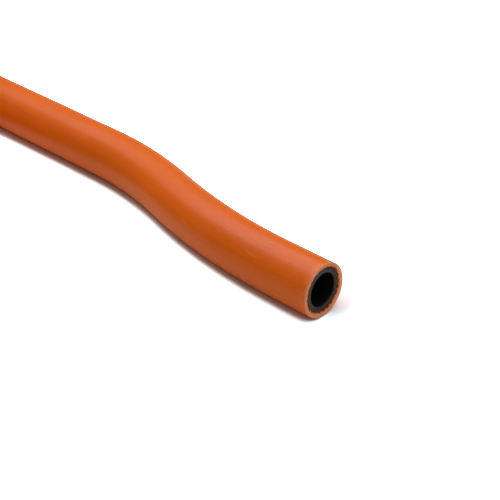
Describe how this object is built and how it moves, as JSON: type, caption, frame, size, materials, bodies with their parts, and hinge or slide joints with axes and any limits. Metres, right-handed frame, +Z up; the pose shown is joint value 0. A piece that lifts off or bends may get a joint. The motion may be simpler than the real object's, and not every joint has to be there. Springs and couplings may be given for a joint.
{
  "type": "rubber gas tubing",
  "caption": "Round flexible rubber tubing with a black liner, a yarn braid and an orange cover, cut off square, coiled for storage with one end run out.",
  "frame": {"origin": "middle of the free end's mouth, on the tubing's axis; the tubing lies on a surface 6.5 mm below it", "axes": "+Z up; +X along the longest extent, with the coil towards -X; the free end points between +X and -Y"},
  "size_m": [0.2497, 0.165, 0.013],
  "materials": {
    "cover_rubber": "smooth orange rubber, faintly satin",
    "braid_yarn": "brown braided yarn",
    "liner_rubber": "matt black rubber"
  },
  "bodies": {
    "root": {"cover": "cover_rubber", "braid": "braid_yarn", "liner": "liner_rubber"}
  },
  "joints": []
}
